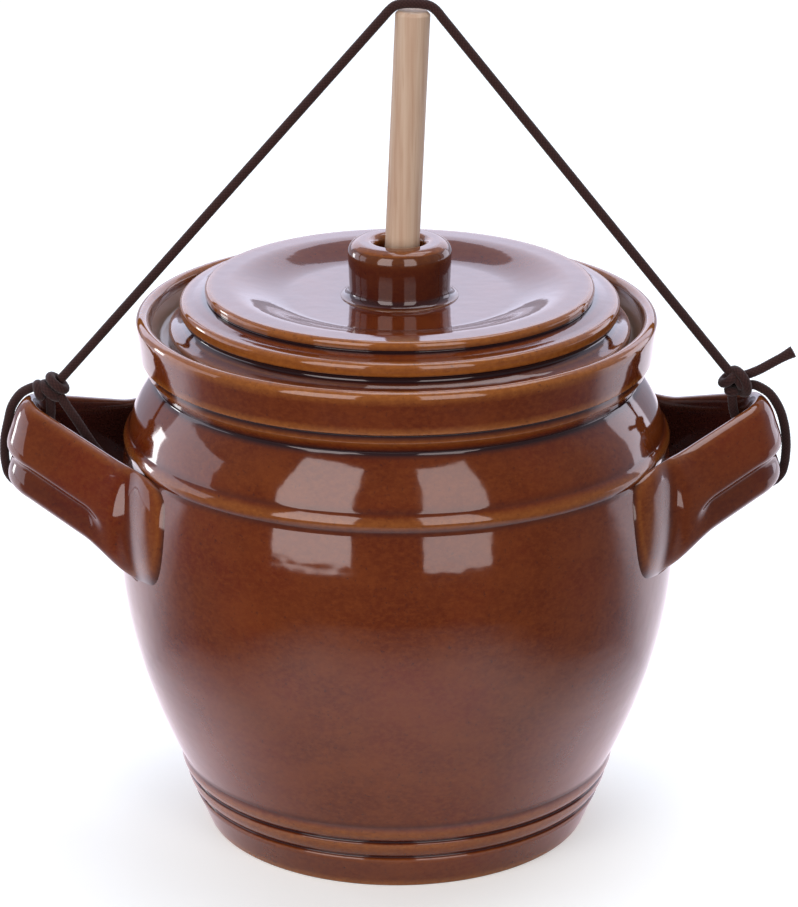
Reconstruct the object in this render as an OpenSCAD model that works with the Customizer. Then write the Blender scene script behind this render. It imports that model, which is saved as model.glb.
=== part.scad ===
// Fermentation jar: a glazed stoneware pot with two strap handles, a stepped lid with a collar,
// a wooden rod and disc that press the food down, and an elastic cord that pulls the rod down.
// The pot stands on z = 0 with its axis on Z. The handles lie along X. Sizes are millimetres.

/* [Pot] */
// Radius of the foot where it stands
foot_r = 80; // [74:1:86]
// Small round at the foot's edge
foot_edge = 1.5; // [0.5:0.5:3]
// Height of the plain band above the foot
foot_band_h = 15.5; // [10:0.5:20]
// Number of beads above the foot band
bead_count = 2; // [1:1:3]
// Height of one bead
bead_h = 8; // [5:0.5:9]
// How far a bead stands proud
bead_proud = 1.3; // [0.5:0.1:2]
// Radius of the body just above the beads
base_r = 91; // [87:1:96]
// Largest radius of the belly
belly_r = 115; // [108:1:124]
// Height of the largest radius
belly_z = 128; // [110:1:140]
// Height of the shoulder rib's lower edge
rib_z = 166; // [160:1:170]
// Height of the shoulder rib
rib_h = 7.5; // [5:0.5:9]
// How far the shoulder rib stands proud
rib_proud = 1.5; // [0.5:0.1:2.5]
// Radius of the body at the rib's upper edge
shoulder_r = 110; // [107:0.5:112]
// Thickness of the wall
wall = 7.5; // [5:0.5:9]
// Thickness of the floor
floor_t = 9; // [6:0.5:12]

/* [Neck and rim] */
// Radius at the bottom of the neck groove
neck_r = 99; // [97:0.5:101]
// Height of the neck groove
neck_z = 194; // [190:0.5:197]
// Outer radius of the lip
rim_r = 106; // [104:0.5:110]
// Radius of the lip's round edge
lip_round = 2.75; // [2:0.25:3.5]
// Height of the pot to the top of the lip
pot_h = 220.5; // [218:0.5:226]
// Height of the plain band under the lip
rim_band_h = 14.5; // [12:0.5:16]
// How far the band leans in towards its lower edge
rim_lean = 1.5; // [0.5:0.5:3]
// Step from the band in to the small moulding under it
rim_step = 2; // [1:0.5:3]
// Depth below the lip of the gallery that carries the lid
gallery_drop = 10.5; // [8.5:0.5:12.5]
// Radius of the gallery's outer corner
gallery_r = 96.5; // [95.5:0.5:98]
// Radius of the mouth inside the gallery
mouth_r = 86.5; // [84:0.5:88]
// Depth of the mouth's upright wall under the gallery
mouth_h = 9; // [6:0.5:12]

/* [Handles] */
// How far the left handle's outer face reaches from the pot's wall
left_reach = 47; // [42:0.5:50]
// How far the right handle's outer face reaches from the pot's wall
right_reach = 45; // [42:0.5:50]
// Thickness of the strap
strap_t = 13; // [11:0.5:15]
// Height of the strap next to the pad at its root
strap_h = 37; // [34:1:42]
// How much lower the strap is at its outer end
strap_taper = 1; // [0:0.5:4]
// How much taller than the strap the pad at its root is
pad_grow = 12; // [4:0.5:14]
// Height of the strap's middle at the wall
handle_z = 151.5; // [146:0.5:156]
// Rise of the strap for each millimetre outwards
handle_rise = 0.37; // [0.3:0.01:0.42]
// How far the strap's face leans outwards for each millimetre downwards
strap_lean = 0.18; // [0:0.01:0.2]
// Angle between a strap's leg and the X axis
leg_angle = 39.2; // [37:0.2:41]
// Radius of the strap's middle round its outer end
bend_r = 17; // [14:1:22]
// Depth of the groove between the strap's two lobes
groove_depth = 3; // [1:0.5:4]
// Half width of that groove
groove_w = 5; // [3:0.5:7]
// Depth that the handle's ends are bedded into the wall
handle_bed = 1.5; // [0.5:0.5:3]

/* [Lid] */
// Outer radius of the lid's flange
lid_r = 94.2; // [92.6:0.2:94.6]
// Height of the flange's upright edge
flange_h = 5; // [4:0.5:6]
// Rise of the flange's sloping top
flange_rise = 4; // [3:0.5:5]
// Height from the seat to the middle step
skirt_h = 12.5; // [11:0.5:15]
// How far the wall over the flange stands in under the middle step
recess = 2; // [1:0.5:3]
// Outer radius of the middle step
middle_r = 89.5; // [88:0.1:90.5]
// Height of the middle step's edge
middle_h = 4.5; // [3:0.5:6]
// Outer radius of the top step
top_r = 79.2; // [74:0.2:82]
// Height of the top step
top_h = 5; // [4:0.5:7]
// Round on the steps' edges
step_round = 1.6; // [0.8:0.2:2]
// Width of the top step's crest outside the dish
crest_w = 9; // [6:0.5:12]
// Radius of the dish's flat middle
dish_r = 42; // [36:1:48]
// Depth of the dish below the crest
dish_depth = 5; // [2:0.5:6]
// Thickness of the lid under the dish
lid_t = 6.5; // [5:0.5:8]
// Height of the ring under the lid that keeps it in the mouth
ring_h = 8; // [5:0.5:12]
// Thickness of that ring
ring_t = 7; // [5:0.5:9]
// Gap between that ring and the mouth
ring_clear = 2; // [1.6:0.1:3]
// How far the lid sits to the right within that gap
lid_shift = 1.3; // [0:0.1:1.4]
// Gap between the lid and the gallery
seat_gap = 0.3; // [0.1:0.1:0.5]

/* [Collar] */
// Outer radius of the collar
collar_r = 20.5; // [18:0.5:24]
// Height of the collar
collar_h = 23; // [16:0.5:28]
// Round on the collar's outer top edge
collar_round = 5; // [2:0.5:6]
// Cove at the collar's foot
collar_cove = 3.4; // [1:0.2:4]
// Diameter of the hole for the rod
hole_d = 20; // [18:0.5:24]
// Round on the hole's top edge
hole_round = 3; // [1:0.5:4]

/* [Rod and disc] */
// Diameter of the rod
rod_d = 14; // [12:0.5:15]
// Length of the rod
rod_len = 260; // [240:1:280]
// Chamfer on the rod's top edge
rod_chamfer = 1.5; // [0.5:0.25:2]
// Lean of the rod towards +X in degrees
rod_lean = 2.5; // [0:0.1:3]
// Where the rod's axis passes the collar's top, from the pot's axis
rod_x = 2.4; // [0.5:0.1:2.8]
// Radius of the press disc
disc_r = 78; // [70:1:80]
// Thickness of the press disc
disc_t = 16; // [12:0.5:22]
// Round on the disc's edges
disc_round = 2; // [1:0.5:4]
// Height of the disc's underside along the rod's axis at rest
disc_rest = 79; // [76:0.5:84]
// Depth of the rod's socket in the disc
socket_h = 10; // [6:0.5:11]
// Gap round the rod in its socket
socket_clear = 0.1; // [0.05:0.05:0.3]

/* [Cord] */
// Diameter of the cord
cord_d = 4; // [3:0.1:4.2]
// Diameter of a knot's core
knot_core = 9; // [8:0.5:10]

/* [Hidden] */
$fn = 96;

glaze_colour = "#7a3d1d";
wood_colour = "#d9b98c";
cord_colour = "#3a2724";

// Heights worked out from the sizes above
base_z = foot_band_h + bead_count * bead_h;
rib_top_z = rib_z + rib_h;
lip_z = pot_h - lip_round;
band_z = lip_z - rim_band_h;
gallery_z = pot_h - gallery_drop;
seat_z = gallery_z + seat_gap;
middle_z = seat_z + skirt_h + middle_h;
top_z = middle_z + top_h;
dish_z = top_z - dish_depth;
ceiling_z = dish_z - lid_t;
collar_top_z = dish_z + collar_h;

// Points on an arc from angle a0 to angle a1, in steps equal parts
function arc(centre, r, a0, a1, steps) =
    [for (i = [0 : steps]) let (a = a0 + (a1 - a0) * i / steps) centre + r * [cos(a), sin(a)]];

// Points of a bead that swells outwards between two points of an outline, without its last point
function bead(from, to, proud, steps) =
    [for (i = [0 : steps - 1]) let (t = i / steps) from + (to - from) * t + [proud * sin(180 * t), 0]];

// Radius of the pot's outside between the beads and the rib
function body_r(z) = z < belly_z
    ? belly_r - (belly_r - base_r) * pow((belly_z - z) / (belly_z - base_z), 2)
    : belly_r - (belly_r - shoulder_r) * pow((z - belly_z) / (rib_top_z - belly_z), 2);

// Radius of the straight taper from the foot to the body
function foot_taper_r(z) = foot_r + (base_r - foot_r) * z / base_z;

// Radius of the pot's outside without beads and rib
function outer_r(z) = z < base_z ? foot_taper_r(z) : body_r(z);

body_steps = 14;
bead_steps = 8;
arc_steps = 8;
shoulder_bow = 1.5;
moulding_h = 4;

shoulder_foot = [shoulder_r, rib_top_z];
neck_point = [neck_r, neck_z];
band_foot_r = rim_r - rim_lean;

// Outline of the pot's outside, from the foot's centre up to the lip
pot_outside = concat(
    [[0, 0], [foot_r - foot_edge, 0], [foot_taper_r(foot_edge), foot_edge]],
    [for (i = [0 : bead_count - 1]) let (z = foot_band_h + i * bead_h)
        each bead([foot_taper_r(z), z], [foot_taper_r(z + bead_h), z + bead_h], bead_proud, bead_steps)],
    [for (i = [0 : body_steps - 1]) let (z = base_z + (rib_z - base_z) * i / body_steps) [body_r(z), z]],
    bead([body_r(rib_z), rib_z], shoulder_foot, rib_proud, bead_steps),
    bead(shoulder_foot, neck_point, shoulder_bow, bead_steps),
    [neck_point, [band_foot_r - rim_step, band_z - moulding_h], [band_foot_r - rim_step, band_z - rim_step / 2],
     [band_foot_r, band_z]],
    arc([rim_r - lip_round, lip_z], lip_round, 0, 180, 2 * arc_steps));

// Outline of the pot's inside, from the lip's inner edge down to the floor's centre
mouth_z = gallery_z - mouth_h;
mouth_edge = 1;
corner_r = 10;
corner_z = floor_t + corner_r;
corner_from = -15;
pot_inside = concat(
    [[gallery_r, gallery_z], [mouth_r + mouth_edge, gallery_z], [mouth_r, gallery_z - mouth_edge], [mouth_r, mouth_z]],
    [for (i = [0 : body_steps]) let (z = rib_top_z + (corner_z - rib_top_z) * i / body_steps)
        [outer_r(z) - wall, z]],
    arc([outer_r(corner_z) - wall - corner_r, corner_z], corner_r, corner_from, -90, arc_steps),
    [[0, floor_t]]);

module pot_body() {
    color(glaze_colour) rotate_extrude() polygon(concat(pot_outside, pot_inside));
}

// Strap handle, swept along its middle line, which bends round the outer end between two straight legs
wall_r = body_r(handle_z);
half_bend = 90 - leg_angle;
leg_dir = [-cos(leg_angle), sin(leg_angle)];
leg_out = [cos(half_bend), sin(half_bend)];
leg_steps = 16;
bend_steps = 12;
section_sides = 28;
lobe_split = -0.19;
pad_lean = 0.04;
pad_from = 40;
pad_to = 12;
// How far the middle of the pad hangs under the middle of the strap
pad_drop = 2;
// How much lower the left handle sits than the right one
left_drop = 1.5;
welt = 1.2;
welt_at = 6;
valley = 2;
valley_at = 19.5;
groove_end = 34;

// Middle of the bend, and way along a leg at which its outer face comes to radius r
function bend_x(reach) = wall_r + reach - strap_t / 2 - bend_r;
function way_to(r, reach) = let (start = [bend_x(reach), 0] + (bend_r + strap_t / 2) * leg_out, slope = start * leg_dir)
    -slope - sqrt(max(0, slope * slope - start * start + r * r));

// Stations along the strap from its back end to its front end: plan point, outward direction, way from the root's seam
function leg_station(i, side, reach) = let (
    way = way_to(wall_r - handle_bed / 2, reach) * sin(90 * i / leg_steps),
    p = [bend_x(reach), 0] + bend_r * leg_out + way * leg_dir)
    [[p[0], side * p[1]], [leg_out[0], side * leg_out[1]], way_to(wall_r, reach) - way];
function bend_station(i, reach) = let (a = half_bend * (1 - 2 * i / bend_steps))
    [[bend_x(reach) + bend_r * cos(a), bend_r * sin(a)], [cos(a), sin(a)], way_to(wall_r, reach)];
function strap_stations(reach) = concat(
    [for (i = [leg_steps : -1 : 1]) leg_station(i, 1, reach)],
    [for (i = [0 : bend_steps]) bend_station(i, reach)],
    [for (i = [1 : leg_steps]) leg_station(i, -1, reach)]);

// Share that grows smoothly from 0 at the first value to 1 at the second
function eased(value, from, to) = let (t = max(0, min(1, (value - from) / (to - from)))) t * t * (3 - 2 * t);

// Pushes a point that lies deep in the wall out to the bedding depth
function bedded(p) = let (r = norm([p[0], p[1]]), least = outer_r(p[2]) - handle_bed)
    r < least ? [p[0] * least / r, p[1] * least / r, p[2]] : p;

// One section of the strap at a station: an ellipse with a groove between two lobes, or a valley and a welt at its root
function strap_section(station, reach) = let (
    x = station[0][0],
    root = station[2],
    pad = eased(root, pad_from, pad_to),
    h = strap_h - strap_taper * (x - wall_r) / reach + pad_grow * pad,
    lean = strap_lean * (1 - pad) - pad_lean * pad,
    swell = welt * exp(-pow((root - welt_at) / 6, 2)) - valley * exp(-pow((root - valley_at) / 4.5, 2)),
    deep = groove_depth * eased(root, groove_end, groove_end + 12),
    z_mid = handle_z + handle_rise * (x - wall_r) - pad_drop * pad)
    [for (k = [0 : section_sides - 1]) let (
        a = 360 * k / section_sides,
        v = sin(a) * h / 2,
        front = sqrt(max(0, cos(a))),
        groove = deep * exp(-pow((v / h - lobe_split) * h / groove_w, 2)),
        u = cos(a) * strap_t / 2 + front * (swell - groove) - lean * v)
        bedded([x + u * station[1][0], station[0][1] + u * station[1][1], z_mid + v])];

// Triangles that join rings of equal size into one closed skin
function skin_faces(rings, sides) = concat(
    [for (i = [0 : rings - 2], k = [0 : sides - 1]) let (a = i * sides + k, b = i * sides + (k + 1) % sides)
        each [[a, b, b + sides], [a, b + sides, a + sides]]],
    [for (k = [1 : sides - 2]) [0, k + 1, k]],
    [for (k = [1 : sides - 2]) let (last = (rings - 1) * sides) [last, last + k, last + k + 1]]);

module strap_handle(reach) {
    stations = strap_stations(reach);
    polyhedron([for (station = stations) each strap_section(station, reach)],
        skin_faces(len(stations), section_sides));
}

module right_handle() {
    color(glaze_colour) strap_handle(right_reach);
}

module left_handle() {
    color(glaze_colour) translate([0, 0, -left_drop]) mirror([1, 0, 0]) strap_handle(left_reach);
}

// Outline of the lid, from the hole along the underside, up the outside and back over the top
ring_r = mouth_r - ring_clear;
ring_inner_r = ring_r - ring_t;
ring_z = seat_z - ring_h;
flange_z = seat_z + flange_h;
flange_round = 2;
recess_r = middle_r - recess;
flange_slope = atan(flange_rise / (lid_r - recess_r));
undercut = 1;
crest_r = top_r - crest_w;
dish_steps = 14;
ceiling_cove = 5;
edge_chamfer = 1;
lid_outline = concat(
    [[hole_d / 2, dish_z], [hole_d / 2, ceiling_z]],
    arc([ring_inner_r - ceiling_cove, ceiling_z - ceiling_cove], ceiling_cove, 90, 0, arc_steps),
    [[ring_inner_r, ring_z], [ring_r - edge_chamfer, ring_z], [ring_r, ring_z + edge_chamfer], [ring_r, seat_z],
     [lid_r - edge_chamfer, seat_z], [lid_r, seat_z + edge_chamfer]],
    arc([lid_r - flange_round, flange_z - flange_round], flange_round, 0, 90 - flange_slope, arc_steps),
    [[recess_r, flange_z + flange_rise], [recess_r, seat_z + skirt_h], [middle_r, seat_z + skirt_h + undercut]],
    arc([middle_r - step_round, middle_z - step_round], step_round, 0, 90, arc_steps),
    [[top_r - undercut, middle_z], [top_r, middle_z + undercut]],
    arc([top_r - step_round, top_z - step_round], step_round, 0, 90, arc_steps),
    [for (i = [0 : dish_steps]) let (t = 1 - i / dish_steps)
        [dish_r + (crest_r - dish_r) * t, dish_z + dish_depth * t * t * (3 - 2 * t)]]);

module lid() {
    color(glaze_colour) translate([lid_shift, 0, 0]) rotate_extrude() polygon(lid_outline);
}

// Outline of the collar, from the hole's foot out, up the outside and back over the rounded top
cove_edge = 0.4;
collar_outline = concat(
    [[hole_d / 2, dish_z], [collar_r + collar_cove, dish_z]],
    arc([collar_r + collar_cove, dish_z + cove_edge + collar_cove], collar_cove, 270, 180, arc_steps),
    arc([collar_r - collar_round, collar_top_z - collar_round], collar_round, 0, 90, arc_steps),
    arc([hole_d / 2 + hole_round, collar_top_z - hole_round], hole_round, 90, 180, arc_steps));

module lid_collar() {
    color(glaze_colour) translate([lid_shift, 0, 0]) rotate_extrude() polygon(collar_outline);
}

// Places its children along the leaning axis of the rod, measured from where that axis meets z = 0
module along_rod(way) {
    translate([rod_x - collar_top_z * tan(rod_lean), 0, 0]) rotate([0, rod_lean, 0])
        translate([0, 0, way]) children();
}

rod_foot = disc_rest + disc_t - socket_h;

module push_rod() {
    color(wood_colour) along_rod(rod_foot) rotate_extrude()
        polygon([[0, 0], [rod_d / 2, 0], [rod_d / 2, rod_len - rod_chamfer],
                 [rod_d / 2 - rod_chamfer, rod_len], [0, rod_len]]);
}

module press_disc() {
    color(wood_colour) along_rod(disc_rest) difference() {
        rotate_extrude() polygon(concat([[0, 0]],
            arc([disc_r - disc_round, disc_round], disc_round, -90, 0, arc_steps),
            arc([disc_r - disc_round, disc_t - disc_round], disc_round, 0, 90, arc_steps),
            [[0, disc_t]]));
        translate([0, 0, disc_t - socket_h]) cylinder(h = socket_h + 1, d = rod_d + 2 * socket_clear);
    }
}

// Points that the cord passes through
span_route = [[-106, 0, 227], [-99, 0, 235], [-92, 0, 243], [-85, 0, 251], [-78, 0, 259], [-71, 0, 267],
    [-64, 0, 275], [-57, 0, 283], [-50, 0, 291], [-43, 0, 299], [-36, 0, 307], [-29, 0, 315], [-22, 0, 323],
    [-15, 0, 331], [-8, 0, 339], [-5.1, 0, 342.3], [-3, 0, 344.7], [-0.5, 0, 346.7], [2.9, 0, 347.5],
    [6.5, 0, 347.6], [9.9, 0, 347.4], [13.2, 0, 346.6], [15.8, 0, 344.7], [18, 0, 342], [20, 0, 339.5], [26, 0, 332], [34, 0, 322], [42, 0, 312],
    [50, 0, 302], [58, 0, 292], [66, 0, 282], [74, 0, 272], [82, 0, 262], [90, 0, 252], [98, 0, 242],
    [106, 0, 232], [112, 0, 224.5], [118, 0, 217]];
left_leg_route = [[-106, 0, 227], [-113, 0, 219], [-120, 0, 211], [-127, 0, 203], [-134.5, 0, 194.5],
    [-137.6, 0, 191]];
right_leg_route = [[118, 0, 217], [122, 0, 212], [128, 0, 204.5], [134.8, 0, 196], [137, 0, 193.3]];
left_loop_route = [[-143.5, 0, 187.5], [-146.5, 1.3, 187.3], [-150, 3, 186.2], [-154.9, 5, 182.9],
    [-158.9, 6.8, 176.8], [-160.9, 8, 169.7], [-162.6, 9, 162], [-163.1, 10.2, 155], [-162.9, 11.2, 150.3],
    [-161.8, 10.8, 145.9], [-158.75, 9.75, 142.7], [-154.6, 8.3, 141.5], [-150.45, 6.85, 142.7],
    [-147.4, 5.8, 145.9], [-146.3, 5.4, 150.3], [-146.1, 5, 154], [-145.2, 4.4, 159.5], [-143.7, 3.5, 166],
    [-142.9, 2.4, 172], [-142.3, 1, 178], [-142.4, 0, 184]];
right_loop_route = [[143.2, 0, 188.2], [146.5, 0.6, 188.2], [149.8, 1.5, 186.6], [153.9, 2.4, 183.3],
    [158, 3.6, 176.5], [160.4, 5, 168.6], [161.5, 6.5, 160.8], [161.6, 8, 154.6], [161.4, 8.7, 151.5],
    [160.3, 8.35, 147.25], [157.4, 7.4, 144.1], [153.4, 6.1, 143], [149.4, 4.8, 144.1], [146.5, 3.85, 147.25],
    [145.4, 3.5, 151.5], [144.4, 3.3, 155.5], [143, 2.9, 160.5], [142, 2.2, 166], [140.3, 1.5, 172],
    [138.5, 0.8, 178], [137.6, 0, 185.5]];
left_tail_route = [[-138.2, -1.4, 184.4], [-135.2, -1.8, 179.4], [-131.8, -2.4, 174.3], [-128.6, -3, 169.2],
    [-125.4, -3.5, 164.2], [-122.2, -4, 159.2]];
right_tail_route = [[142, 0, 192.2], [145.2, 0, 193.4], [149, 0, 195.1], [153.5, 0, 197.7], [158, 0, 200.3],
    [162.2, 0, 202.7]];

// Each knot's place, and its wraps: place from the knot's middle, lean of the wrap's axis towards +X, and radius
left_knot_at = [-140.5, 0, 187.6];
left_wraps = [[[1.4, 0, 1.6], 41, 3.9], [[-1.5, 0, -1.7], 41, 3.9], [[-6.2, 0, -1.6], 75, 2.6]];
right_knot_at = [139.2, 0, 189.8];
right_wraps = [[[1.8, 0, 0.2], 71, 5.2], [[-3, 0, 1.6], -37, 3.2]];
cord_sides = 8;

function unit(v) = v / norm(v);

// Direction of a route at its point i
function heading(route, i) = unit(route[min(i + 1, len(route) - 1)] - route[max(i - 1, 0)]);

// Tube along a route, with one ring at each of its points
module cord_tube(route) {
    points = [for (i = [0 : len(route) - 1]) let (
        along = heading(route, i),
        across = unit(cross([0, 1, 0], along)),
        beside = cross(along, across))
        for (k = [0 : cord_sides - 1]) let (a = 360 * (k + 0.5) / cord_sides)
            route[i] + cord_d / 2 * (cos(a) * across + sin(a) * beside)];
    color(cord_colour) polyhedron(points, skin_faces(len(route), cord_sides));
}

module cord_knot(at, wraps) {
    color(cord_colour) translate(at) {
        sphere(d = knot_core, $fn = 24);
        for (wrap = wraps)
            translate(wrap[0]) rotate([0, wrap[1], 0])
                rotate_extrude($fn = 20) translate([wrap[2], 0]) circle(d = cord_d, $fn = 10);
    }
}

module cord_span() { cord_tube(span_route); }
module left_cord_leg() { cord_tube(left_leg_route); }
module right_cord_leg() { cord_tube(right_leg_route); }
module left_cord_loop() { cord_tube(left_loop_route); }
module right_cord_loop() { cord_tube(right_loop_route); }
module left_cord_tail() { cord_tube(left_tail_route); }
module right_cord_tail() { cord_tube(right_tail_route); }
module left_cord_knot() { cord_knot(left_knot_at, left_wraps); }
module right_cord_knot() { cord_knot(right_knot_at, right_wraps); }

pot_body();
left_handle();
right_handle();
lid();
lid_collar();
push_rod();
press_disc();
cord_span();
left_cord_leg();
right_cord_leg();
left_cord_loop();
right_cord_loop();
left_cord_knot();
right_cord_knot();
left_cord_tail();
right_cord_tail();
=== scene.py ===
"""Fermentation jar: the glazed pot, its lid, the wooden press and the cord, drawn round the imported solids.

The frame's solids give the places. Each operator makes one piece or one group of like pieces in metres, in the frame
of the solids, and hides the solids that it stands for.
"""

import math

import bpy
import numpy as np
from mathutils import Matrix, Vector


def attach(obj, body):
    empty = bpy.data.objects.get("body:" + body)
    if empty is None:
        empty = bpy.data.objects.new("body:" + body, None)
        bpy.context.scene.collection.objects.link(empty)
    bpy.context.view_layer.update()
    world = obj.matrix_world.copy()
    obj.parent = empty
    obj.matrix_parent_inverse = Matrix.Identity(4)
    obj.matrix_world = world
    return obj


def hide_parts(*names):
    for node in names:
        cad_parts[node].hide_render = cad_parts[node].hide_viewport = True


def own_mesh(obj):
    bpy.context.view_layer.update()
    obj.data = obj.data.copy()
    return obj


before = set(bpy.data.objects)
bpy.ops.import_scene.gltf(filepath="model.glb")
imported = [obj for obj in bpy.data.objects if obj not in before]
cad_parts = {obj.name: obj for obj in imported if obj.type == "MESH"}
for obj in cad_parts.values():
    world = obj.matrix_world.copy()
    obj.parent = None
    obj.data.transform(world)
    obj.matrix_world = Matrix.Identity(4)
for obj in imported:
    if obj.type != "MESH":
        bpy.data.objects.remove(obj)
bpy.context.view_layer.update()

bl_info = {
    "name": "Fermentation jar",
    "version": (1, 0, 0),
    "blender": (4, 5, 0),
    "location": "View3D > Sidebar > Jar",
    "description": "Builds a glazed fermentation jar with its lid, press and cord",
    "category": "Add Mesh",
}

MM = 0.001


def linear(hex_colour):
    """Linear RGBA of an sRGB hex colour."""
    parts = [int(hex_colour[i:i + 2], 16) / 255 for i in (1, 3, 5)]
    return tuple(c / 12.92 if c <= 0.04045 else ((c + 0.055) / 1.055) ** 2.4 for c in parts) + (1.0,)


def length_property(name, description, millimetres):
    """A length that a user may change, given in millimetres."""
    return bpy.props.FloatProperty(name=name, description=description, default=millimetres * MM, unit="LENGTH",
                                   precision=4)


def angle_property(name, description, degrees):
    """An angle that a user may change, given in degrees."""
    return bpy.props.FloatProperty(name=name, description=description, default=math.radians(degrees), subtype="ANGLE")


def colour_property(name, description, hex_colour):
    """A colour that a user may change, given as sRGB hex."""
    return bpy.props.FloatVectorProperty(name=name, description=description, default=linear(hex_colour), size=4,
                                         min=0, max=1, subtype="COLOR")


class PotSizes(bpy.types.PropertyGroup):
    """Sizes of the pot."""
    foot_r: length_property("Foot radius", "Radius of the foot where it stands", 80)
    foot_band_h: length_property("Foot band", "Height of the plain band above the foot", 15.5)
    bead_h: length_property("Bead height", "Height of one of the two beads above the foot band", 8)
    bead_proud: length_property("Bead relief", "How far a bead stands proud", 1.3)
    base_r: length_property("Base radius", "Radius of the body just above the beads", 91)
    belly_r: length_property("Belly radius", "Largest radius of the belly", 115)
    belly_z: length_property("Belly height", "Height of the largest radius", 128)
    rib_z: length_property("Rib height", "Height of the shoulder rib's lower edge", 166)
    rib_h: length_property("Rib width", "Height of the shoulder rib itself", 7.5)
    rib_proud: length_property("Rib relief", "How far the shoulder rib stands proud", 1.5)
    shoulder_r: length_property("Shoulder radius", "Radius at the rib's upper edge", 110)
    wall: length_property("Wall", "Thickness of the wall", 7.5)
    floor_t: length_property("Floor", "Thickness of the floor", 9)
    neck_r: length_property("Neck radius", "Radius at the bottom of the neck groove", 99)
    neck_z: length_property("Neck height", "Height of the neck groove", 194)
    rim_r: length_property("Lip radius", "Outer radius of the lip", 106)
    lip_round: length_property("Lip round", "Radius of the lip's round edge", 2.75)
    pot_h: length_property("Pot height", "Height to the top of the lip", 220.5)
    gallery_z: length_property("Gallery height", "Height of the ledge that carries the lid", 210)
    gallery_r: length_property("Gallery radius", "Radius of the ledge's outer corner", 96.5)
    mouth_r: length_property("Mouth radius", "Radius of the mouth inside the ledge", 86.5)


class HandleSizes(bpy.types.PropertyGroup):
    """Sizes of the strap handles."""
    left_reach: length_property("Left reach", "How far the left handle's outer face stands from the wall", 47)
    right_reach: length_property("Right reach", "How far the right handle's outer face stands from the wall", 45)
    strap_t: length_property("Strap thickness", "Thickness of the strap", 13)
    strap_h: length_property("Strap height", "Height of the strap next to the pad at its root", 37)
    taper: length_property("Taper", "How much lower the strap is at its outer end", 1)
    pad_grow: length_property("Pad growth", "How much taller than the strap the pad at its root is", 12)
    pad_drop: length_property("Pad drop", "How far the pad's middle hangs under the strap's middle", 2)
    left_drop: length_property("Left drop", "How much lower the left handle sits than the right one", 1.5)
    middle_z: length_property("Middle height", "Height of the strap's middle at the wall", 151.5)
    rise: bpy.props.FloatProperty(name="Rise", description="Rise of the strap for each unit outwards", default=0.37)
    lean: bpy.props.FloatProperty(name="Lean", description="How far the strap's face leans outwards downwards",
                                  default=0.18)
    bend_r: length_property("Bend", "Radius of the strap's middle round its outer end", 17)
    groove_depth: length_property("Groove depth", "Depth of the groove between the strap's two lobes", 3)
    leg_angle: angle_property("Leg angle", "Angle between a strap's leg and the X axis", 39.2)


class LidSizes(bpy.types.PropertyGroup):
    """Sizes of the lid and its collar."""
    lid_r: length_property("Flange radius", "Outer radius of the lid's flange", 94.2)
    flange_h: length_property("Flange edge", "Height of the flange's upright edge", 5)
    flange_rise: length_property("Flange rise", "Rise of the flange's sloping top", 4)
    recess: length_property("Recess", "How far the wall over the flange stands in under the middle step", 2)
    middle_r: length_property("Middle step radius", "Outer radius of the middle step", 89.5)
    top_r: length_property("Top step radius", "Outer radius of the top step", 79.2)
    dish_r: length_property("Dish radius", "Radius of the dish's flat middle", 46)
    crest_w: length_property("Crest", "Width of the top step's crest outside the dish", 9)
    dish_depth: length_property("Dish depth", "Depth of the dish below the top step's crest", 5)
    shift: length_property("Shift", "How far the lid sits to the right in the mouth", 1.3)
    collar_r: length_property("Collar radius", "Outer radius of the collar", 20.5)
    collar_h: length_property("Collar height", "Height of the collar over the dish", 23)
    collar_cove: length_property("Collar cove", "Radius of the cove at the collar's foot", 3.4)
    hole_d: length_property("Hole", "Diameter of the hole for the rod", 20)


class PressSizes(bpy.types.PropertyGroup):
    """Sizes of the rod and the press disc."""
    rod_d: length_property("Rod diameter", "Diameter of the wooden rod", 14)
    rod_len: length_property("Rod length", "Length of the wooden rod", 260)
    disc_r: length_property("Disc radius", "Radius of the press disc", 78)
    disc_t: length_property("Disc thickness", "Thickness of the press disc", 16)
    disc_rest: length_property("Disc height", "Height of the disc's underside along the rod's axis", 79)
    lean: angle_property("Lean", "Lean of the rod towards +X", 2.5)


class CordSizes(bpy.types.PropertyGroup):
    """Sizes of the braided cord."""
    diameter: length_property("Diameter", "Diameter of the cord", 4)
    relief: length_property("Braid relief", "How far the braid's strands stand proud", 0.16)
    strands: bpy.props.IntProperty(name="Strands", description="Strands of the braid that run each way", default=8)


class JarColours(bpy.types.PropertyGroup):
    """Colours of the finishes."""
    glaze: colour_property("Glaze", "Brown glaze on the plain walls", "#54210a")
    glaze_red: colour_property("Red glaze", "Redder patches of the glaze", "#5e1e0b")
    glaze_gold: colour_property("Golden glaze", "Golden clouds and grains in the glaze", "#6a3414")
    glaze_thin: colour_property("Thin glaze", "Golden brown where the glaze thins over an edge", "#8a5526")
    # Dark glaze: pooled glaze in hollows, also the painted shade in grooves, creases and on the handles' shaded faces,
    # and the dark specks
    glaze_dark_and_shade: colour_property("Pooled glaze", "Dark brown where the glaze gathers in a groove", "#27171a")
    clay: colour_property("Raw clay", "Unglazed stoneware under the foot", "#b49a7c")
    wood: colour_property("Beech", "Pale turned beech", "#bcab95")
    wood_line: colour_property("Beech line", "Darker lines of the beech's grain", "#a88d75")
    cord: colour_property("Cord", "Dark brown braid", "#3a2523")
    floor: colour_property("Floor", "Pale studio floor", "#e1ebe9")


class StageSettings(bpy.types.PropertyGroup):
    """Camera and light."""
    camera_far: length_property("Camera distance", "Distance from the camera to its aim", 1500)
    aim_x: length_property("Aim across", "Where the camera aims, along X", 1.0)
    aim_z: length_property("Aim height", "Height at which the camera aims", 158.4)
    elevation: angle_property("Elevation", "Camera's height angle above the horizon", 19.8)
    lens: bpy.props.FloatProperty(name="Lens", description="Focal length for a sensor 36 mm wide, in millimetres",
                                  default=163.8)


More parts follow.
